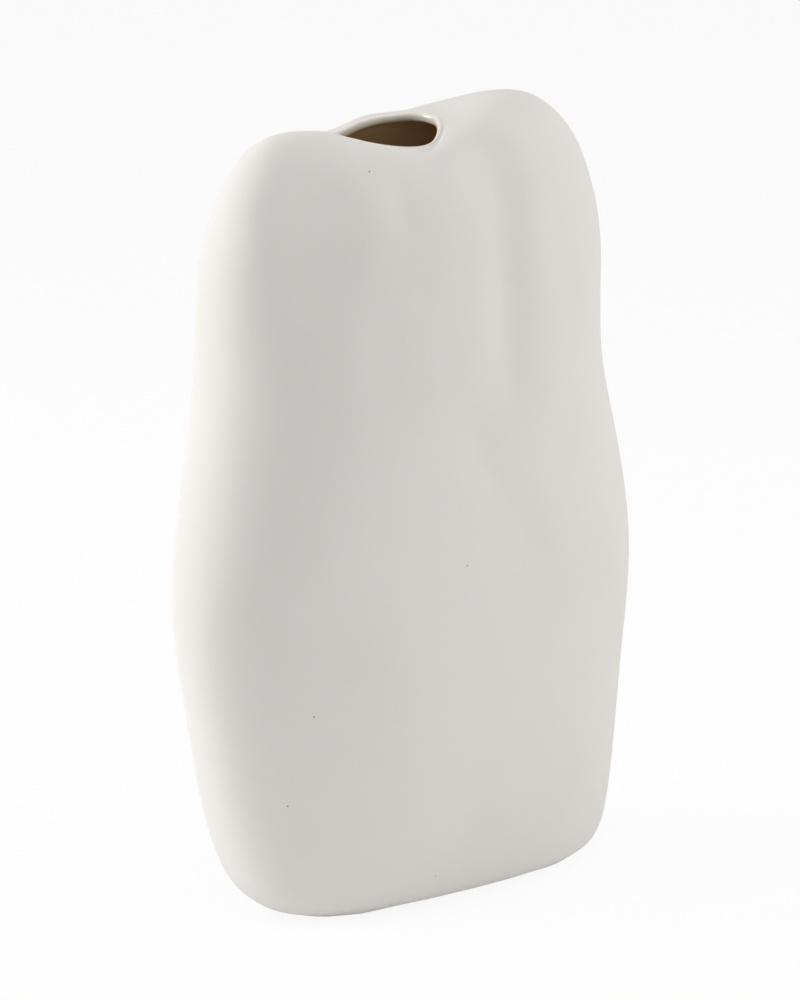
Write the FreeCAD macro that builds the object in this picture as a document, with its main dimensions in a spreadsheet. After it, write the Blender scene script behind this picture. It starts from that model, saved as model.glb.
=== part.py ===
import FreeCAD, Part
import math
import os

# Pillow vase in millimetres: a thin slip-cast shell, flat and soft like a pillow, with two
# shoulders and an off-centre mouth between them. +Z is up, the face seen first looks along -Y,
# and the origin is on the table under the middle of the vase.

os.makedirs("parts", exist_ok=True)
doc = FreeCAD.newDocument("PillowVase")
Vector = FreeCAD.Vector

sizeRows = [
    ("shellHeight", 380, "taller shoulder above the foot"),
    ("halfWidth", 118.5, "middle to the widest side"),
    ("halfDepth", 53.5, "middle to the fullest face"),
    ("wallThick", 5.5, "shell wall, and the lip"),
    ("floorThick", 8, "shell floor"),
    ("floorRound", 14, "inside round between wall and floor"),
    ("glazeThick", 0.6, "glaze on the inside and over the lip"),
    ("footRim", 17, "flat ring that the vase stands on"),
    ("recessDepth", 2.5, "hollow inside the flat ring"),
    ("padDiameter", 11, "stick-on pad"),
    ("padThick", 1.6, "stick-on pad"),
    ("padEdge", 0.4, "chamfer on the pad's lower edge"),
    ("creaseDepth", 3, "pinch that runs down from the mouth"),
    ("creaseWidth", 9, "pinch, from its line to its soft side"),
    ("foldDepth", 1.5, "slanting fold below the pinch"),
    ("foldWidth", 10, "slanting fold, from its line to its soft side"),
    ("hollowDepth", 3, "thumb hollow under the lower shoulder"),
    ("hollowWidth", 24, "thumb hollow, from its middle to its soft side"),
    ("dimpleDepth", 1.2, "dimple below the lip"),
    ("dimpleWidth", 12, "dimple, from its middle to its soft side"),
]
sheet = doc.addObject("Spreadsheet::Sheet", "Sizes")
for number, (alias, value, note) in enumerate(sizeRows, start=1):
    sheet.set("A%d" % number, note)
    sheet.set("B%d" % number, str(value))
    sheet.setAlias("B%d" % number, alias)
doc.recompute()


def size(alias):
    return float(getattr(sheet, alias))


shellHeight = size("shellHeight")
halfWidth = size("halfWidth")
halfDepth = size("halfDepth")
wallThick = size("wallThick")
glazeThick = size("glazeThick")

# One row for each station from the foot up to the lip. Across is a share of the half width,
# depth a share of the half depth, height a share of the shell's height.
#   left              right            front             back
#   across  height    across  height   depth   height    depth   height
stationShares = [
    (-0.641, 0.000,   0.769, 0.000,   -0.660, 0.000,    0.642, 0.000),
    (-0.752, 0.021,   0.846, 0.013,   -0.811, 0.013,    0.774, 0.013),
    (-0.820, 0.064,   0.897, 0.048,   -0.887, 0.045,    0.868, 0.045),
    (-0.889, 0.144,   0.932, 0.133,   -0.962, 0.133,    0.962, 0.133),
    (-0.957, 0.280,   0.966, 0.267,   -1.000, 0.267,    1.000, 0.267),
    (-1.000, 0.400,   1.000, 0.387,   -1.000, 0.400,    1.000, 0.400),
    (-0.949, 0.533,   0.940, 0.528,   -1.000, 0.533,    1.000, 0.533),
    (-0.880, 0.680,   0.829, 0.680,   -0.981, 0.667,    0.981, 0.667),
    (-0.863, 0.800,   0.838, 0.800,   -0.925, 0.773,    0.925, 0.773),
    (-0.803, 0.883,   0.786, 0.893,   -0.830, 0.856,    0.830, 0.859),
    (-0.718, 0.937,   0.684, 0.955,   -0.679, 0.915,    0.679, 0.920),
    (-0.615, 0.968,   0.496, 0.995,   -0.528, 0.947,    0.528, 0.957),
    (-0.521, 0.973,   0.316, 0.987,   -0.434, 0.957,    0.453, 0.971),
    (-0.427, 0.965,   0.154, 0.969,   -0.377, 0.955,    0.377, 0.977),
]
# Where the front and the back are fullest, as shares of the half width, for each station.
fullestShares = [
    (0.12, 0.03), (0.10, 0.03), (0.09, 0.03), (0.05, 0.03), (0.02, 0.02), (0.00, 0.00), (0.00, 0.00),
    (0.00, 0.00), (0.00, 0.00), (-0.01, 0.00), (-0.02, 0.00), (-0.03, 0.00), (-0.03, 0.01), (-0.04, 0.02),
]
# How far each shoulder leans to the front, as shares of the shell's height, left then right.
leanShares = [(0.0, 0.0)] * 10 + [(0.016, 0.0), (0.032, 0.0), (0.040, 0.0), (0.045, -0.003)]
# 2 is an ellipse, and a larger number is squarer.
squareness = [2.8, 2.7, 2.6, 2.5, 2.4, 2.4, 2.4, 2.4, 2.4, 2.4, 2.3, 2.2, 2.1, 2.0]

# Ribs run round the shell: two for each station, and three at the waist and the shoulders.
ribStations = [half / 2 for half in range(10)] + [5 + third / 3 for third in range(6)]
ribStations += [7 + half / 2 for half in range(4)] + [9 + third / 3 for third in range(13)]
ribPoints = 40
ribSamples = 720
widestStation = 5
lipSteps = 5
floorSteps = 3
glazeEdgeShare = 0.4
# The inside follows four ribs of the shoulders, counted down from the lip, and then every rib.
innerSteps = [2, 5, 8, 10] + list(range(12, len(ribStations)))

# Marks that the maker's hands left in the front face: the line that each follows, from one
# point to another, across as a share of the half width and up as a share of the height.
markShares = [
    ("crease", (0.17, 0.955), (0.21, 0.89)),
    ("crease", (0.21, 0.89), (0.20, 0.68)),
    ("fold", (0.03, 0.62), (0.30, 0.43)),
    ("hollow", (-0.62, 0.90), (-0.62, 0.86)),
    ("dimple", (-0.21, 0.90), (-0.21, 0.88)),
]


def guide(triples):
    """A smooth curve through one point for each station; its parameter is the station."""
    curve = Part.BSplineCurve()
    curve.interpolate(Points=[Vector(*triple) for triple in triples],
                      Parameters=list(range(len(triples))))
    return curve


leftGuide = guide([(row[0] * halfWidth, 0, row[1] * shellHeight) for row in stationShares])
rightGuide = guide([(row[2] * halfWidth, 0, row[3] * shellHeight) for row in stationShares])
frontGuide = guide([(full[0] * halfWidth, row[4] * halfDepth, row[5] * shellHeight)
                    for row, full in zip(stationShares, fullestShares)])
backGuide = guide([(full[1] * halfWidth, row[6] * halfDepth, row[7] * shellHeight)
                   for row, full in zip(stationShares, fullestShares)])
leanGuide = guide([(left * shellHeight, right * shellHeight, number)
                   for number, (left, right) in enumerate(leanShares)])
squareGuide = guide([(value, 0, number) for number, value in enumerate(squareness)])


def pressedIn(point):
    """How deep the hand marks press the front face in at a point."""
    deepest = 0
    for kind, start, end in markShares:
        first = Vector(start[0] * halfWidth, 0, start[1] * shellHeight)
        line = Vector(end[0] * halfWidth, 0, end[1] * shellHeight) - first
        reach = Vector(point.x, 0, point.z) - first
        along = min(1, max(0, reach.dot(line) / line.dot(line)))
        away = (reach - line * along).Length
        deepest = max(deepest, size(kind + "Depth") * math.exp(-0.5 * (away / size(kind + "Width")) ** 2))
    return deepest


def ribThrough(station, angles):
    """Points round the shell at a station, before the hand marks, one for each angle."""
    left, right = leftGuide.value(station), rightGuide.value(station)
    front, back = frontGuide.value(station), backGuide.value(station)
    lean = leanGuide.value(station)
    power = 2 / squareGuide.value(station).x
    points = []
    for angle in angles:
        c, s = math.cos(angle), math.sin(angle)
        end, leanHere = (right, lean.y) if c >= 0 else (left, lean.x)
        face = back if s >= 0 else front
        x = face.x + (end.x - face.x) * abs(c) ** power
        y = face.y * abs(s) ** power
        z = end.z * c * c + face.z * s * s - leanHere * c * c * s
        points.append(Vector(x, y, z))
    return points


def evenAngles(station, count):
    """The angles whose points lie evenly round one rib; all ribs share them."""
    fine = [2 * math.pi * number / ribSamples for number in range(ribSamples + 1)]
    points = ribThrough(station, fine)
    lengths = [0]
    for before, after in zip(points, points[1:]):
        lengths.append(lengths[-1] + (after - before).Length)
    angles = []
    for number in range(count):
        wanted = lengths[-1] * number / count
        place = max(index for index in range(ribSamples) if lengths[index] <= wanted)
        share = (wanted - lengths[place]) / (lengths[place + 1] - lengths[place])
        angles.append(fine[place] + share * (fine[place + 1] - fine[place]))
    return angles


def marked(rib):
    """The rib with the hand marks pressed into the front face."""
    frontReach = -min(point.y for point in rib)
    return [Vector(point.x, point.y * (1 - pressedIn(point) / frontReach), point.z) if point.y < 0 else point
            for point in rib]


def outwardAndUp(below, rib, above):
    """The shell's outward normal and its upward direction at each point of a rib."""
    pairs = []
    for number in range(len(rib)):
        around = rib[(number + 2) % len(rib)] - rib[number - 2]
        up = above[number] - below[number]
        out = around.cross(up)
        pairs.append((out.normalize(), up.normalize()))
    return pairs


spokes = evenAngles(widestStation, ribPoints)
ribs = [ribThrough(station, spokes) for station in ribStations]
topRib = len(ribs) - 1
directions = [outwardAndUp(ribs[max(0, number - 1)], rib, ribs[min(topRib, number + 1)])
              for number, rib in enumerate(ribs)]


def lipRings(extra, first=1):
    """The half round lip from the outside over the top to the inside; extra stands proud of it."""
    rings = []
    for step in range(first, lipSteps + 1):
        angle = math.pi * step / lipSteps
        share = glazeEdgeShare if step == first else 1
        radius = wallThick / 2 + extra * share
        ring = []
        for point, (out, up) in zip(ribs[topRib], directions[topRib]):
            middle = point - out * (wallThick / 2)
            ring.append(middle + out * (radius * math.cos(angle)) + up * (radius * math.sin(angle)))
        rings.append(ring)
    return rings


def innerRings(extra):
    """The inside of the wall from below the lip down to the round, then over it to the floor."""
    rings = []
    floorTop = size("floorThick") + extra
    for step in innerSteps:
        number = topRib - step
        ring = [point - out * (wallThick + extra) for point, (out, up) in zip(ribs[number], directions[number])]
        if min(point.z for point in ring) < size("floorThick") + size("floorRound"):
            break
        rings.append(ring)
        kneeOutward = [Vector(out.x, out.y, 0).normalize() for out, up in directions[number]]
    knee = rings[-1]
    radius = size("floorRound") - extra
    for step in range(1, floorSteps + 1):
        angle = math.pi / 2 * step / floorSteps
        ring = []
        for point, level in zip(knee, kneeOutward):
            moved = point - level * (radius * (1 - math.cos(angle)))
            ring.append(Vector(moved.x, moved.y, floorTop + (point.z - floorTop) * (1 - math.sin(angle))))
        rings.append(ring)
    return rings


def ringCurve(ring):
    """A closed smooth curve through the points of a ring."""
    curve = Part.BSplineCurve()
    curve.interpolate(Points=ring, PeriodicFlag=True, Parameters=list(range(len(ring) + 1)))
    return curve


def band(lower, upper):
    """The straight-ruled face between two rings."""
    curves = [ringCurve(lower), ringCurve(upper)]
    surface = Part.BSplineSurface()
    surface.buildFromPolesMultsKnots([list(pair) for pair in zip(*[curve.getPoles() for curve in curves])],
                                     curves[0].getMultiplicities(), [2, 2],
                                     curves[0].getKnots(), [0, 1], True, False, curves[0].Degree, 1)
    return surface.toShape()


def skin(rings):
    """Faces through the rings, one from each ring to the next."""
    return [band(lower, upper) for lower, upper in zip(rings, rings[1:])]


def flat(ring):
    return Part.Face(Part.Wire([ringCurve(ring).toShape()]))


def closedSolid(name, faces):
    """A solid in the document from faces that meet along whole edges."""
    shell = Part.makeShell(faces)
    shell.sewShape()
    solid = Part.makeSolid(shell)
    if solid.Volume < 0:
        solid.reverse()
    piece = doc.addObject("Part::Feature", name)
    piece.Shape = solid
    return piece


# Shell: foot, outside, lip, inside and floor, then the hollow under the foot. The glaze starts at
# the second ring of the lip, so the outside face ends there and the inside face starts there.
outsideRings = [marked(rib) for rib in ribs[:-1]] + [ribs[-1]]
clayLip = lipRings(0)
clayInside = clayLip[1:] + innerRings(0)
insideFaces = skin(clayInside)
floorFace = flat(clayInside[-1])
shell = closedSolid("shell", [flat(outsideRings[0])] + skin(outsideRings + clayLip[:2]) + insideFaces + [floorFace])

footMiddle = (leftGuide.value(0).x + rightGuide.value(0).x) / 2
footAcross = (rightGuide.value(0).x - leftGuide.value(0).x) / 2
footDeep = abs(frontGuide.value(0).y)


def recessLine(height):
    """The foot's outline drawn in by the flat ring, and by the draft at this height."""
    inset = size("footRim") + height
    across = 1 - inset / footAcross
    deep = 1 - inset / footDeep
    return [Vector(footMiddle + (point.x - footMiddle) * across, point.y * deep, height) for point in ribs[0]]


recessRings = [recessLine(0), recessLine(size("recessDepth"))]
recess = closedSolid("recess", skin(recessRings) + [flat(ring) for ring in recessRings])
body = doc.addObject("Part::Cut", "vase_body")
body.Base = shell
body.Tool = recess

# Glaze: one thin coat on the floor, the inside and over the top of the lip.
glazeRings = lipRings(glazeThick, first=2) + innerRings(glazeThick)
glazeEdge = band(clayInside[0], glazeRings[0])
glaze = closedSolid("glaze_lining", insideFaces + [floorFace, glazeEdge] + skin(glazeRings) + [flat(glazeRings[-1])])
for piece in (body, glaze):
    piece.setExpression("Placement.Base.z", "Sizes.padThick")

# Four stick-on pads sit on the middle of the flat ring, one in each quarter.
padPower = 2 / squareness[0]
padAcross = (footAcross - size("footRim") / 2) * math.cos(math.pi / 4) ** padPower
padDeep = (footDeep - size("footRim") / 2) * math.sin(math.pi / 4) ** padPower
pads = []
for label, across, deep in (("pad_front_left", -1, -1), ("pad_front_right", 1, -1),
                            ("pad_back_left", -1, 1), ("pad_back_right", 1, 1)):
    blank = doc.addObject("Part::Cylinder", label + "_blank")
    blank.setExpression("Radius", "Sizes.padDiameter / 2")
    blank.setExpression("Height", "Sizes.padThick")
    blank.Placement.Base = Vector(footMiddle + across * padAcross, deep * padDeep, 0)
    doc.recompute()
    lowerEdge = min(range(len(blank.Shape.Edges)), key=lambda n: blank.Shape.Edges[n].BoundBox.ZMax) + 1
    pad = doc.addObject("Part::Chamfer", label)
    pad.Base = blank
    pad.Edges = [(lowerEdge, size("padEdge"), size("padEdge"))]
    pads.append(pad)

doc.recompute()
subparts = [body, glaze] + pads
for item in doc.Objects:
    if "Invalid" in item.State or "Error" in item.State:
        raise RuntimeError("%s failed to build" % item.Name)
for piece in subparts:
    piece.Label = piece.Name
    if piece.Shape.isNull() or not piece.Shape.isValid() or len(piece.Shape.Solids) != 1:
        raise RuntimeError("%s is not one sound solid" % piece.Label)
for piece in subparts:
    piece.Shape.exportStep("parts/%s.step" % piece.Label)
    box = piece.Shape.BoundBox
    print("%s: %.1f x %.1f x %.1f mm" % (piece.Label, box.XLength, box.YLength, box.ZLength))
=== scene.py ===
import bmesh
import bpy
import math
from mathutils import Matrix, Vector


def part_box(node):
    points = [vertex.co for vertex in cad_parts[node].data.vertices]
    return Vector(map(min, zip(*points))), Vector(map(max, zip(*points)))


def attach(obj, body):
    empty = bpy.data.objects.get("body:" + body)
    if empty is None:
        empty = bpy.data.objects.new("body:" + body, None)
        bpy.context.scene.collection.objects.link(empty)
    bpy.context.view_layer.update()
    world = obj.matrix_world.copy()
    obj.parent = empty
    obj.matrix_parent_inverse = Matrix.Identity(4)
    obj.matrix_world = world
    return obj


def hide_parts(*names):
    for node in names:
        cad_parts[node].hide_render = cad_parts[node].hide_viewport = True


# Pillow vase: an unglazed white clay shell on felt pads, with a cream glaze inside and over
# its lip.
# Metres, +Z up, the taller shoulder towards +X, the face seen first towards -Y.

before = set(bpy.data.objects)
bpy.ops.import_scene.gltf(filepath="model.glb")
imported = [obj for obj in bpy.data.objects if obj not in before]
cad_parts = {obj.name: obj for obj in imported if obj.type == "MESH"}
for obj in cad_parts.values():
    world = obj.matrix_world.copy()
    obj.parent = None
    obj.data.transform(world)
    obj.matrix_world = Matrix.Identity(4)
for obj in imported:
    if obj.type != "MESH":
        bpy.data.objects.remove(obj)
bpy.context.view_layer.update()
scene = bpy.context.scene
scene.view_settings.view_transform = "Standard"

studio = {
    "target": (-0.003, 0.0, 0.191),
    "distance": 1.621,
    "turn": -30.0,          # degrees round the vase, towards the lower shoulder
    "rise": 19.0,           # degrees up
    "lens": 125.0,
    "sensor": 36.0,
    # name, turn, rise, distance, width, power
    "lamps": [
        ("keyLamp", -120, 20, 1.5, 1.0, 13.5),
        ("fillLamp", 58, 16, 1.9, 1.1, 10.0),
        ("topLamp", 20, 74, 1.6, 1.2, 6.5),
    ],
    "skyLight": 0.448,
}


def deselected():
    bpy.ops.object.select_all(action="DESELECT")


def aimed(item, turn, rise, distance):
    # stands the item off from the target and turns it to look there
    turn, rise = math.radians(turn), math.radians(rise)
    away = Vector((math.sin(turn) * math.cos(rise), -math.cos(turn) * math.cos(rise),
                   math.sin(rise)))
    item.location = Vector(studio["target"]) + away * distance
    item.rotation_euler = (-away).to_track_quat("-Z", "Y").to_euler()


def studioCamera():
    deselected()
    bpy.ops.object.camera_add()
    camera = bpy.context.object
    camera.data.lens = studio["lens"]
    camera.data.sensor_width = studio["sensor"]
    aimed(camera, studio["turn"], studio["rise"], studio["distance"])
    scene.camera = camera


def softLamp(name, turn, rise, distance, width, power):
    bpy.ops.object.light_add(type="AREA")
    lamp = bpy.context.object
    lamp.name = name
    lamp.data.size = width
    lamp.data.energy = power
    aimed(lamp, turn, rise, distance)


studioCamera()
for lamp in studio["lamps"]:
    softLamp(*lamp)
print("camera and lamps are set")


class Value:
    # one socket whose number or colour changes over the surface
    def __init__(self, home, socket):
        self.home = home
        self.socket = socket

    def maths(self, operation, *terms):
        return self.home.node("ShaderNodeMath", {"operation": operation}, dict(enumerate(terms)))

    def __add__(self, other):
        return self.maths("ADD", self, other)

    __radd__ = __add__

    def __sub__(self, other):
        return self.maths("SUBTRACT", self, other)

    def __rsub__(self, other):
        return self.maths("SUBTRACT", other, self)

    def __mul__(self, other):
        return self.maths("MULTIPLY", self, other)

    __rmul__ = __mul__

    def below(self, other):
        return self.maths("LESS_THAN", self, other)

    def lesser(self, other):
        return self.maths("MINIMUM", self, other)

    def greater(self, other):
        return self.maths("MAXIMUM", self, other)

    def ramp(self, low, high):
        # 0 at low, 1 at high, soft at both ends
        return self.home.node("ShaderNodeMapRange", {"interpolation_type": "SMOOTHSTEP"},
                              {"Value": self, "From Min": low, "From Max": high})


class Nodes:
    # one node tree, and how nodes are put into it
    def __init__(self, tree):
        self.tree = tree

    def node(self, kind, settings=None, sockets=None, out=0):
        made = self.tree.nodes.new(kind)
        for key, value in (settings or {}).items():
            setattr(made, key, value)
        for key, value in (sockets or {}).items():
            self.put(made.inputs[key], value)
        return Value(self, made.outputs[out])

    def put(self, socket, value):
        if isinstance(value, Value):
            self.tree.links.new(value.socket, socket)
        else:
            socket.default_value = value

    def seenWhite(self):
        # 1 for what the camera sees, straight, mirrored or through glass
        seen = self.node("ShaderNodeLightPath", out="Is Camera Ray")
        for kind in ("Is Glossy Ray", "Is Transmission Ray"):
            seen = seen.greater(self.node("ShaderNodeLightPath", out=kind))
        return seen


class Paint(Nodes):
    # one material; its plain numbers go straight onto the shader
    def __init__(self, name, plain):
        self.material = bpy.data.materials.new(name)
        self.material.use_nodes = True
        super().__init__(self.material.node_tree)
        self.shader = self.tree.nodes["Principled BSDF"]
        for key, value in plain.items():
            self.shader.inputs[key].default_value = value

    def place(self):
        return self.node("ShaderNodeTexCoord", out="Object")

    def axis(self, name):
        return self.node("ShaderNodeSeparateXYZ", None, {0: self.place()}, out=name)

    def noise(self, scale, detail, rough):
        return self.node("ShaderNodeTexNoise", None,
                         {"Vector": self.place(), "Scale": scale, "Detail": detail,
                          "Roughness": rough})

    def blend(self, share, first, second):
        return self.node("ShaderNodeMix", {"data_type": "RGBA"}, {0: share, 6: first, 7: second},
                         out=2)

    def relief(self, height, depth, under=None):
        # height runs from 0 to 1 and stands for depth in metres; under is a relief it lies on
        sockets = {"Height": height, "Strength": 1.0, "Distance": depth}
        if under is not None:
            sockets["Normal"] = under
        return self.node("ShaderNodeBump", None, sockets)

    def finish(self, links):
        for key, value in links.items():
            self.put(self.shader.inputs[key], value)
        return self.material


def linear(red, green, blue):
    # a colour written as it shows on a screen, 0 to 255; the numbers are those of sRGB
    def one(value):
        value /= 255
        return value / 12.92 if value <= 0.04045 else ((value + 0.055) / 1.055) ** 2.4
    return (one(red), one(green), one(blue), 1)


# In the three finishes, a noise is given by its scale, detail and roughness.
clay = {
    "plain": {"Specular IOR Level": 0.35, "IOR": 1.45},
    "fresh": linear(232, 228, 224),
    "worn": linear(225, 221, 217),
    "patches": (7.0, 3.0, 0.55),
    "patchRange": (0.35, 0.7),
    "patchShare": 0.6,      # of the worn colour, where a patch is full
    "roughness": 0.80,
    "toothRoughness": 0.14,     # what the tooth adds to it
    "tooth": (420.0, 3.0, 0.6),
    "toothDepth": 0.00005,
    "grain": (1500.0, 2.0, 0.5),
    "grainDepth": 0.00002,
    "pinhole": linear(138, 126, 115),
    "holeScale": 83.0,      # cells per metre that may hold a pinhole
    "holeRadius": 0.038,    # as a share of a cell
    "holeFloor": 0.5,       # its flat middle, as a share of the radius
    "holeChance": 0.20,
    "holeDepth": 0.0003,
}


def clayPaint():
    paint = Paint("bisqueClay", clay["plain"])
    patches = paint.noise(*clay["patches"]).ramp(*clay["patchRange"])
    cells = {"Vector": paint.place(), "Scale": clay["holeScale"]}
    away = paint.node("ShaderNodeTexVoronoi", None, cells, out="Distance")
    lot = paint.node("ShaderNodeTexVoronoi", None, cells, out="Color")
    chosen = paint.node("ShaderNodeSeparateColor", None, {0: lot}).below(clay["holeChance"])
    hole = (1 - away.ramp(clay["holeRadius"] * clay["holeFloor"], clay["holeRadius"])) * chosen
    colour = paint.blend(patches * clay["patchShare"], clay["fresh"], clay["worn"])
    colour = paint.blend(hole, colour, clay["pinhole"])
    grain = paint.noise(*clay["grain"])
    tooth = paint.noise(*clay["tooth"])
    rough = clay["roughness"] + tooth * clay["toothRoughness"]
    bump = paint.relief(tooth, clay["toothDepth"])
    bump = paint.relief(grain, clay["grainDepth"], bump)
    bump = paint.relief(1 - hole, clay["holeDepth"], bump)
    return paint.finish({"Base Color": colour, "Roughness": rough, "Normal": bump})


glaze = {
    "plain": {"Roughness": 0.12, "IOR": 1.5, "Coat Weight": 0.5, "Coat Roughness": 0.04},
    # The glaze is cream all over. The two colours after it are painted light: a darker warm tint
    # for the shade inside the hollow, and a lighter warm tint deeper down for light bouncing
    # about inside.
    "cream": linear(236, 229, 215),
    "shadeTan": linear(242, 209, 162),
    "deep": linear(254, 227, 184),
    "lipHeight": 0.3685,    # the lip's height in the middle, and its rise to the back,
    "lipRise": 0.21,        # which turns into a fall at the left end
    "leftFall": 0.84,
    "leftLength": 0.0496,
    "edge": (0.0036, 0.0075),   # from the lip down to where cream turns to the painted shade colour
    "runs": (60.0, 2.0, 0.5),
    "runLength": 0.001,         # how far the painted shade's edge wanders
    # where the painted shade gives way to the painted warm light further down
    "deepening": (0.02, 0.12),
    "waves": (110.0, 1.0, 0.5),
    "waveDepth": 0.00012,
}


def glazePaint():
    paint = Paint("creamGlaze", glaze["plain"])
    leftward = paint.axis("X").lesser(0) * (1 / glaze["leftLength"])
    rise = glaze["lipRise"] - leftward * leftward * glaze["leftFall"]
    depth = glaze["lipHeight"] + paint.axis("Y") * rise - paint.axis("Z")
    runs = paint.noise(*glaze["runs"]) * glaze["runLength"]
    # painted shade: the colour goes from cream to a darker warm tint below the lip
    inside = (depth + runs).ramp(*glaze["edge"])
    # painted light: a lighter warm tint further down, for light bouncing about inside
    deep = depth.ramp(*glaze["deepening"])
    colour = paint.blend(inside, glaze["cream"], glaze["shadeTan"])
    colour = paint.blend(deep, colour, glaze["deep"])
    bump = paint.relief(paint.noise(*glaze["waves"]), glaze["waveDepth"])
    return paint.finish({"Base Color": colour, "Normal": bump})


felt = {
    "plain": {"Roughness": 0.95, "Specular IOR Level": 0.15, "Sheen Weight": 0.4,
              "Sheen Roughness": 0.6},
    "pile": linear(201, 197, 190),
    "shade": linear(176, 171, 163),
    "fibre": (2600.0, 3.0, 0.65),
    "fibreDepth": 0.00012,
    "tuft": (2600.0 / 6, 2.0, 0.5),
    "tuftDepth": 0.0001,
}


def feltPaint():
    paint = Paint("padFelt", felt["plain"])
    fibre = paint.noise(*felt["fibre"])
    tuft = paint.noise(*felt["tuft"])
    bump = paint.relief(fibre, felt["fibreDepth"])
    bump = paint.relief(tuft, felt["tuftDepth"], bump)
    return paint.finish({"Base Color": paint.blend(fibre, felt["shade"], felt["pile"]),
                         "Normal": bump})


clayMaterial = clayPaint()
glazeMaterial = glazePaint()
feltMaterial = feltPaint()
print("materials are made")


def only(piece):
    deselected()
    piece.select_set(True)
    bpy.context.view_layer.objects.active = piece


def editing(piece):
    only(piece)
    bpy.ops.object.mode_set(mode="EDIT")


def edited():
    bpy.ops.object.mode_set(mode="OBJECT")


def pick(piece, kind, test):
    # in edit mode: selects the vertices, edges or faces that pass the test
    mesh = bmesh.from_edit_mesh(piece.data)
    kinds = ("verts", "edges", "faces")
    bpy.context.tool_settings.mesh_select_mode = [kind == each for each in kinds]
    for items in (mesh.verts, mesh.edges, mesh.faces):
        for item in items:
            item.select = False
    for item in getattr(mesh, kind):
        if test(item):
            item.select_set(True)
    mesh.select_flush_mode()
    bmesh.update_edit_mesh(piece.data)


def pulledOut(up=0):
    bpy.ops.mesh.extrude_region_move(TRANSFORM_OT_translate={"value": (0, 0, up)})


def nudged(move, reach):
    # moves what is selected, and what lies within reach less and less
    bpy.ops.transform.translate(value=move, use_proportional_edit=True,
                                proportional_edit_falloff="SMOOTH", proportional_size=reach)


def eased(piece, rounds, test, sideways=True):
    # smooths the vertices that pass the test
    pick(piece, "verts", test)
    bpy.ops.mesh.vertices_smooth(factor=0.5, repeat=rounds, xaxis=sideways, yaxis=sideways)


def modified(piece, kind, settings):
    only(piece)
    step = piece.modifiers.new(kind.title(), kind)
    for key, value in settings.items():
        setattr(step, key, value)
    bpy.ops.object.modifier_apply(modifier=step.name)


def subdivided(piece):
    modified(piece, "SUBSURF", {"levels": 1, "render_levels": 1})


def grouped(piece, name, points, weight=1):
    group = piece.vertex_groups.get(name) or piece.vertex_groups.new(name=name)
    group.add(list(points), weight, "REPLACE")


shell = {
    "mergeGap": 0.00001,
    # the middle of the hollow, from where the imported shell's outside is told from its inside
    "core": {"across": (-0.06, 0.05), "up": (0.05, 0.31)},
    "roundPoints": 24,
    "flatCuts": 11,
    # from the foot up: height, left side, right side, half depth
    "rows": [
        (0.0016, -0.0760, 0.0911, 0.0349), (0.0040, -0.0830, 0.0960, 0.0390),
        (0.0085, -0.0895, 0.1005, 0.0428), (0.0150, -0.0935, 0.1040, 0.0452),
        (0.0240, -0.0972, 0.1066, 0.0474), (0.0380, -0.1015, 0.1090, 0.0498),
        (0.0560, -0.1053, 0.1106, 0.0515), (0.0780, -0.1093, 0.1125, 0.0527),
        (0.1030, -0.1132, 0.1146, 0.0534), (0.1280, -0.1168, 0.1173, 0.0535),
        (0.1500, -0.1185, 0.1185, 0.0535), (0.1740, -0.1173, 0.1170, 0.0535),
        (0.1980, -0.1135, 0.1120, 0.0535), (0.2220, -0.1095, 0.1055, 0.0533),
        (0.2460, -0.1060, 0.1000, 0.0528), (0.2700, -0.1035, 0.0980, 0.0516),
        (0.2920, -0.1026, 0.0988, 0.0499), (0.3110, -0.1008, 0.0982, 0.0472),
        (0.3270, -0.0970, 0.0955, 0.0436), (0.3400, -0.0920, 0.0905, 0.0393),
        (0.3510, -0.0855, 0.0835, 0.0350),
    ],
    # over the shoulders to the lip: height, left side, right side, half depth, where it is
    # fullest as a share of its width, tilt to the front in degrees, roundness
    "crown": [
        (0.3590, -0.0785, 0.0730, 0.0312, 0.515, 2, 0.1),
        (0.3645, -0.0710, 0.0590, 0.0280, 0.54, 4, 0.3),
        (0.3668, -0.0635, 0.0440, 0.0252, 0.59, 7, 0.5),
        (0.3680, -0.0565, 0.0300, 0.0227, 0.63, 10, 0.8),
        (0.3687, -0.0508, 0.0170, 0.0204, 0.63, 11.7, 1.0),
    ],
    # flat ring and hollow under the foot: how far in, how far up
    "footSteps": [(0.0018, 0), (0.0134, 0), (0.0018, 0), (0.0015, 0.0025), (0.0018, 0)],
    "footSpan": 10,
    "footTop": 0.0023,      # what lies lower than this stays where it is
    "hollow": {"top": 0.0044, "halfDepth": 0.0200, "across": (-0.062, 0.077)},
    "easedAbove": 0.006,
    "easeRounds": 2,
    "lipSearch": 0.015,
    "relaxRounds": 8,
    "waveSize": 0.085,
    "waves": 0.0007,
    "waveMiddle": 0.62,
    "lipReach": 0.0027,     # one more row, this far further in
    # moves of the lip: front (-1) or back (1), from where to where across, how far up,
    # how far that fades out
    "lipMoves": [
        (-1, -0.0140, -0.0015, -0.0051, 0.021), (-1, -0.039, -0.027, -0.0014, 0.017),
        (-1, 0.007, 0.016, 0.0015, 0.010), (1, -0.036, -0.014, -0.0010, 0.022),
        (1, 0.009, 0.016, 0.0013, 0.011),
    ],
    "lipSide": 0.004,       # front and back start this far from the middle plane
    "lipRounds": 3,
    "wall": 0.0055,
    "lipWall": 0.66,        # how thick the wall is at the lip and one row out, as shares
    "nextWall": 0.83,
    "lipRound": 0.0013,
    "lipSegments": 3,
    "insideRounds": 6,
}


def spineAway(point):
    # from the flat core that follows the vase out to the point
    (left, right), (bottom, top) = shell["core"]["across"], shell["core"]["up"]
    return point - Vector((min(right, max(left, point.x)), 0, min(top, max(bottom, point.z))))


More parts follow.
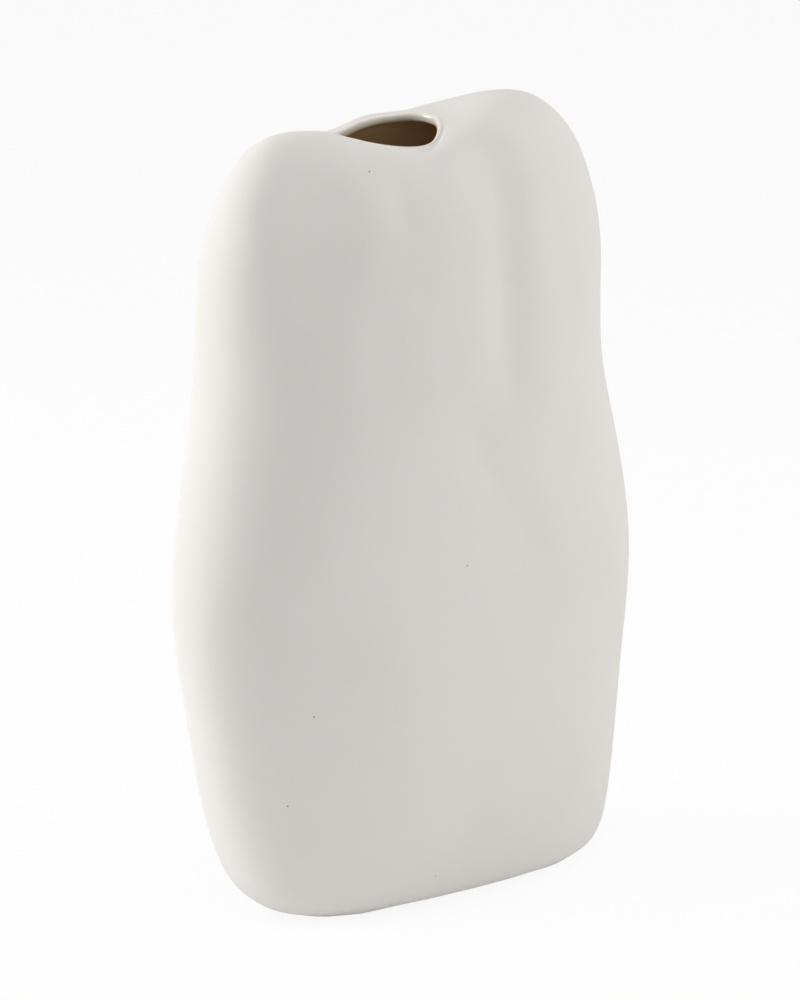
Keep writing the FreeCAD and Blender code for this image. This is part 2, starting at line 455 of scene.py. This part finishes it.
def outsideForm():
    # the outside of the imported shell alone, for the new surface to lie on
    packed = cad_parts["vase_body"]
    form = packed.copy()
    form.data = packed.data.copy()
    form.name = "outsideForm"
    scene.collection.objects.link(form)
    editing(form)
    bpy.ops.mesh.select_all(action="SELECT")
    bpy.ops.mesh.remove_doubles(threshold=shell["mergeGap"])
    pick(form, "faces", lambda face: face.normal.dot(spineAway(face.calc_center_median())) < 0)
    bpy.ops.mesh.delete(type="FACE")
    edited()
    return form


def grownRow(skin, height, left, right, depth, tilt=0, roundness=0, fullest=(0.5, 0.5)):
    # pulls one more row out of the selected one and brings it to its size and place;
    # fullest says where it was fullest and where it shall be
    pulledOut()
    mesh = bmesh.from_edit_mesh(skin.data)
    mesh.verts.ensure_lookup_table()
    mesh.verts.index_update()
    chosen = [vert for vert in mesh.verts if vert.select]
    row = {vert.index for vert in chosen}
    if roundness:
        bpy.ops.transform.tosphere(value=roundness)
    low = Vector([min(vert.co[axis] for vert in chosen) for axis in range(3)])
    high = Vector([max(vert.co[axis] for vert in chosen) for axis in range(3)])
    now, middle = (low + high) / 2, (left + right) / 2
    wider, deeper = (right - left) / (high.x - low.x), 2 * depth / (high.y - low.y)
    bpy.ops.transform.resize(value=(wider, deeper, deeper), center_override=now)
    bpy.ops.transform.translate(value=(middle - now.x, -now.y, height - now.z))
    bpy.ops.transform.rotate(value=math.radians(-tilt), orient_axis="X",
                             center_override=(middle, 0, height))
    before, after = fullest
    if before == after:
        return
    # both halves meet where the row is fullest
    meeting = left + before * (right - left)
    leftHalf = {index for index in row if mesh.verts[index].co.x < meeting}
    for half, end, share in ((leftHalf, left, after / before),
                             (row - leftHalf, right, (1 - after) / (1 - before))):
        pick(skin, "verts", lambda vert: vert.index in half)
        bpy.ops.transform.resize(value=(share, 1, 1), center_override=(end, 0, height))
    pick(skin, "verts", lambda vert: vert.index in row)


def footRing():
    # a flat ring with two round ends, the first row of the shell
    height, left, right, depth = shell["rows"][0]
    middle = (left + right) / 2
    deselected()
    bpy.ops.mesh.primitive_circle_add(vertices=shell["roundPoints"], radius=depth,
                                      location=(middle, 0, height),
                                      rotation=(0, 0, math.pi / shell["roundPoints"]))
    skin = bpy.context.object
    skin.name = "clayShell"
    bpy.ops.object.transform_apply(location=True, rotation=True, scale=True)
    editing(skin)
    # the round ends move apart, and the long edges between them get points
    for side in (-1, 1):
        pick(skin, "verts", lambda vert: (vert.co.x - middle) * side > 0)
        bpy.ops.transform.translate(value=(side * ((right - left) / 2 - depth), 0, 0))
    pick(skin, "edges", lambda edge: edge.calc_length() > depth)
    bpy.ops.mesh.subdivide(number_cuts=shell["flatCuts"])
    bpy.ops.mesh.select_all(action="SELECT")
    return skin


def footClosed(skin):
    height, left, right, depth = shell["rows"][0]
    middle = (left + right) / 2
    pick(skin, "edges", lambda edge: edge.is_boundary and edge.verts[0].co.z < shell["footTop"])
    for drawnIn, up in shell["footSteps"]:
        pulledOut(up)
        bpy.ops.transform.resize(value=(1 - 2 * drawnIn / (right - left), 1 - drawnIn / depth, 1),
                                 center_override=(middle, 0, height))
        left, right, depth = left + drawnIn, right - drawnIn, depth - drawnIn
    bpy.ops.mesh.fill_grid(span=shell["footSpan"])


def shellSkin():
    skin = footRing()
    for row in shell["rows"][1:]:
        grownRow(skin, *row)
    tiltBefore, shareBefore = 0, 0.5
    for height, left, right, depth, share, tilt, roundness in shell["crown"]:
        shareBefore += (0.5 - shareBefore) * roundness
        grownRow(skin, height, left, right, depth, tilt - tiltBefore, roundness,
                 (shareBefore, share))
        tiltBefore, shareBefore = tilt, share
    footClosed(skin)
    bpy.ops.mesh.select_all(action="SELECT")
    bpy.ops.mesh.normals_make_consistent(inside=False)
    front = min(bmesh.from_edit_mesh(skin.data).faces,
                key=lambda face: face.calc_center_median().y)
    if front.normal.y > 0:
        bpy.ops.mesh.flip_normals()
    edited()
    return skin


def inHollow(point):
    # under the foot: the flat ring's inner edge and the hollow
    hollow = shell["hollow"]
    left, right = hollow["across"]
    return (point.z < hollow["top"] and abs(point.y) < hollow["halfDepth"]
            and left < point.x < right)


def lipRows(skin):
    # the numbers of the points on the open edge, and of these and the points next to them
    mesh = bmesh.new()
    mesh.from_mesh(skin.data)
    rim = [vert for vert in mesh.verts if vert.is_boundary]
    onRim = {vert.index for vert in rim}
    beside = {edge.other_vert(vert).index for vert in rim for edge in vert.link_edges}
    mesh.free()
    return onRim, beside


def laidOn(skin, form, rounds):
    # eased and pulled back onto the form in turn, so that its faces end up even;
    # the foot stays as it is, and the lip only rises or sinks
    points = skin.data.vertices
    onRim = lipRows(skin)[0]
    held = onRim | {vert.index for vert in points
                    if vert.co.z < shell["footTop"] or inHollow(vert.co)}
    skin.vertex_groups.clear()
    grouped(skin, "outside", [vert.index for vert in points if vert.index not in held])
    grouped(skin, "rim", onRim)
    modified(skin, "SHRINKWRAP", {"target": form, "wrap_method": "PROJECT",
                                  "use_project_z": True, "use_negative_direction": True,
                                  "project_limit": shell["lipSearch"], "vertex_group": "rim"})
    onto = {"target": form, "wrap_method": "NEAREST_SURFACEPOINT", "vertex_group": "outside"}
    modified(skin, "SHRINKWRAP", onto)
    for again in range(rounds):
        editing(skin)
        eased(skin, shell["easeRounds"],
              lambda vert: vert.index not in held and vert.co.z > shell["easedAbove"])
        edited()
        modified(skin, "SHRINKWRAP", onto)


def waved(skin):
    # the slow waves of a surface made by hand
    editing(skin)
    eased(skin, 1, lambda vert: not vert.is_boundary and vert.co.z > shell["easedAbove"])
    edited()
    waves = bpy.data.textures.new("slowWaves", "CLOUDS")
    waves.noise_scale = shell["waveSize"]
    waves.noise_depth = 1
    modified(skin, "DISPLACE", {"texture": waves, "strength": shell["waves"],
                                "mid_level": shell["waveMiddle"], "texture_coords": "LOCAL",
                                "vertex_group": "outside"})


def lipShaped(skin):
    height, left, right, depth = shell["crown"][-1][:4]
    editing(skin)
    pick(skin, "edges", lambda edge: edge.is_boundary)
    pulledOut()
    narrower, flatter = (1 - shell["lipReach"] / half for half in ((right - left) / 2, depth))
    bpy.ops.transform.resize(value=(narrower, flatter, flatter),
                             center_override=((left + right) / 2, 0, height))
    for side, start, end, up, reach in shell["lipMoves"]:
        pick(skin, "verts", lambda vert: vert.is_boundary and start < vert.co.x < end
             and vert.co.y * side > shell["lipSide"])
        nudged((0, 0, up), reach)
    # evens out how the lip runs up and down
    eased(skin, shell["lipRounds"],
          lambda vert: any(edge.other_vert(vert).is_boundary for edge in vert.link_edges),
          sideways=False)
    edited()


def thickened(skin):
    # the wall, which thins to the round lip; slot 0 is the outside, 1 the inside, 2 the lip
    onRim, beside = lipRows(skin)
    grouped(skin, "wall", range(len(skin.data.vertices)))
    grouped(skin, "wall", beside, shell["nextWall"])
    grouped(skin, "wall", onRim, shell["lipWall"])
    for slot in range(3):
        skin.data.materials.append(clayMaterial)
    modified(skin, "SOLIDIFY", {"thickness": shell["wall"], "offset": -1, "vertex_group": "wall",
                                "material_offset": 1, "material_offset_rim": 2})
    editing(skin)
    pick(skin, "edges", lambda edge: len({face.material_index for face in edge.link_faces}) > 1)
    bpy.ops.mesh.bevel(offset=shell["lipRound"], segments=shell["lipSegments"], profile=0.5,
                       affect="EDGES", material=2)
    # the inside is smoother than the outside
    eased(skin, shell["insideRounds"],
          lambda vert: all(face.material_index == 1 for face in vert.link_faces))
    edited()
    subdivided(skin)


marks = {
    # Each line runs over the front (-1) or back (1) face, given by places across and up;
    # then how far it is pressed in, and how far that fades out to the sides.
    "lines": [
        (-1, [(0.0320, 0.356), (0.0305, 0.338), (0.0290, 0.312), (0.0280, 0.276),
              (0.0275, 0.262)], 0.0006, 0.011),
        (-1, [(0.0165, 0.334), (0.0120, 0.300), (0.0115, 0.270)], -0.0004, 0.012),
        (-1, [(0.0060, 0.238), (0.0120, 0.222), (0.0210, 0.206), (0.0330, 0.188),
              (0.0400, 0.172)], 0.0005, 0.010),
        (-1, [(-0.0050, 0.225), (0.0050, 0.205)], -0.0003, 0.012),
        (-1, [(-0.0235, 0.347), (-0.0235, 0.339)], 0.0005, 0.008),
        (-1, [(-0.0181, 0.307), (-0.0175, 0.300)], 0.0004, 0.008),
        (-1, [(-0.0380, 0.290), (-0.0376, 0.262)], 0.0004, 0.012),
        (-1, [(0.0570, 0.320), (0.0620, 0.290)], 0.0005, 0.014),
        (-1, [(-0.0640, 0.340), (-0.0690, 0.318)], 0.0022, 0.028),
        (-1, [(-0.0850, 0.080), (-0.0860, 0.120)], 0.0034, 0.072),
        (-1, [(-0.0480, 0.060), (-0.0560, 0.105)], 0.0010, 0.048),
        (1, [(-0.0300, 0.300), (-0.0340, 0.240)], 0.0008, 0.018),
        (1, [(0.0400, 0.200), (0.0250, 0.120)], 0.0010, 0.024),
    ],
    "lineNear": 0.0022,     # points this near to a line move all the way
    "faceSide": 0.02,       # a face's points lie this far from the middle plane
    "faceTurn": 0.5,        # and look forwards or backwards at least this much
    # Places on top, across and deep, that are fuller or flatter; then how they move,
    # and how far that fades out.
    "tops": [
        ((-0.084, -0.010), (-0.0007, 0, 0.0034), 0.027),
        ((0.027, 0.006), (0, 0, 0.0010), 0.022),
        ((0.077, -0.004), (0.0003, 0, 0.0013), 0.024),
        ((0.006, 0.026), (0, 0, -0.0010), 0.012),
        ((-0.030, 0.025), (0, 0, -0.0014), 0.013),
    ],
    "topNear": 0.006,
    "topAbove": 0.3,
    "topTurn": 0.4,
}


def fromLine(point, line):
    # distance across and up from a point to a line of places
    spot, best = Vector((point.x, point.z)), math.inf
    for start, end in zip(line, line[1:]):
        start, run = Vector(start), Vector(end) - Vector(start)
        share = min(1, max(0, (spot - start).dot(run) / run.length_squared))
        best = min(best, (spot - start - run * share).length)
    return best


def pressed(skin):
    editing(skin)
    for side, line, depth, reach in marks["lines"]:
        pick(skin, "verts", lambda vert: vert.co.y * side > marks["faceSide"]
             and vert.normal.y * side > marks["faceTurn"]
             and fromLine(vert.co, line) < marks["lineNear"])
        nudged((0, -side * depth, 0), reach)
    for place, move, reach in marks["tops"]:
        pick(skin, "verts", lambda vert: vert.normal.z > marks["topTurn"]
             and vert.co.z > marks["topAbove"]
             and (vert.co.xy - Vector(place)).length < marks["topNear"])
        nudged(move, reach)
    edited()


form = outsideForm()
clayShell = shellSkin()
laidOn(clayShell, form, shell["relaxRounds"])
subdivided(clayShell)
laidOn(clayShell, form, 1)
bpy.data.objects.remove(form)
waved(clayShell)
lipShaped(clayShell)
thickened(clayShell)
pressed(clayShell)
print("clay shell:", len(clayShell.data.polygons), "faces")

coat = {"thickness": 0.0003}


def glazeFrom(body):
    # the faces of the inside and the lip, lifted off as a thin coat
    editing(body)
    pick(body, "faces", lambda face: face.material_index > 0)
    bpy.ops.mesh.duplicate()
    bpy.ops.mesh.separate(type="SELECTED")
    edited()
    made = [item for item in bpy.context.selected_objects if item != body][0]
    made.name = "glazeCoat"
    modified(made, "SOLIDIFY", {"thickness": coat["thickness"], "offset": 1})
    return made


def finished(piece, material):
    piece.data.materials.clear()
    piece.data.materials.append(material)
    only(piece)
    bpy.ops.object.shade_smooth()


glazeCoat = glazeFrom(clayShell)
finished(clayShell, clayMaterial)
finished(glazeCoat, glazeMaterial)
print("glaze coat:", len(glazeCoat.data.polygons), "faces")

pad = {
    "points": 48,
    "edge": 0.00045,
    "edgeSteps": 4,
    "insets": (0.0012, 0.0018),
    "smoothAngle": 50,
}
padNodes = ["pad_front_left", "pad_front_right", "pad_back_left", "pad_back_right"]


def feltPad(node):
    low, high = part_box(node)
    thickness = high.z - low.z
    deselected()
    bpy.ops.mesh.primitive_cylinder_add(vertices=pad["points"], radius=(high.x - low.x) / 2,
                                        depth=thickness, location=(low + high) / 2)
    made = bpy.context.object
    made.name = node.replace("pad_", "felt_")
    bpy.ops.object.transform_apply(location=True, rotation=True, scale=True)
    editing(made)
    # the edges of both flat faces, then the flat faces themselves
    pick(made, "edges", lambda edge: abs(edge.verts[0].co.z - edge.verts[1].co.z) < thickness / 2)
    bpy.ops.mesh.bevel(offset=pad["edge"], segments=pad["edgeSteps"], profile=0.5, affect="EDGES")
    pick(made, "faces", lambda face: len(face.verts) > 4)
    for inset in pad["insets"]:
        bpy.ops.mesh.inset(thickness=inset)
    edited()
    made.data.materials.append(feltMaterial)
    bpy.ops.object.shade_smooth_by_angle(angle=math.radians(pad["smoothAngle"]))
    return made


feltPads = [feltPad(node) for node in padNodes]
print("felt pads are made")

pieces = [(clayShell, "vase_body", "bisque_clay"), (glazeCoat, "glaze_lining", "cream_glaze")]
pieces += [(piece, node, "felt") for piece, node in zip(feltPads, padNodes)]
for piece, node, slot in pieces:
    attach(piece, "root")
    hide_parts(node)

room = {
    "floorSize": 30,
    "drop": 0.0001,         # the floor lies this far under the pads
    "glow": 0.90,           # share of plain white; the rest shows the shadow
    "floor": {"Base Color": linear(250, 250, 250), "Roughness": 0.9, "Specular IOR Level": 0.1},
    "white": (1, 1, 1, 1),
}


def paleFloor():
    deselected()
    bpy.ops.mesh.primitive_plane_add(size=room["floorSize"], location=(0, 0, -room["drop"]))
    floor = bpy.context.object
    floor.name = "floor"
    paint = Paint("paleFloor", room["floor"])
    plain = Value(paint, paint.shader.outputs[0])
    glow = paint.node("ShaderNodeEmission", None, {"Color": room["white"], "Strength": 1})
    seen = paint.node("ShaderNodeMixShader", None,
                      {0: paint.seenWhite() * room["glow"], 1: plain, 2: glow})
    paint.put(paint.tree.nodes["Material Output"].inputs["Surface"], seen)
    floor.data.materials.append(paint.material)


def studioAir():
    # white where it is seen, and a plain soft light on the vase
    world = bpy.data.worlds.new("studioWorld")
    world.use_nodes = True
    scene.world = world
    air = Nodes(world.node_tree)
    sky = world.node_tree.nodes["Background"]
    air.put(sky.inputs["Color"], room["white"])
    air.put(sky.inputs["Strength"], air.node("ShaderNodeMapRange", None, {
        "Value": air.seenWhite(), "To Min": studio["skyLight"]}))


paleFloor()
studioAir()
print("floor and background are set")
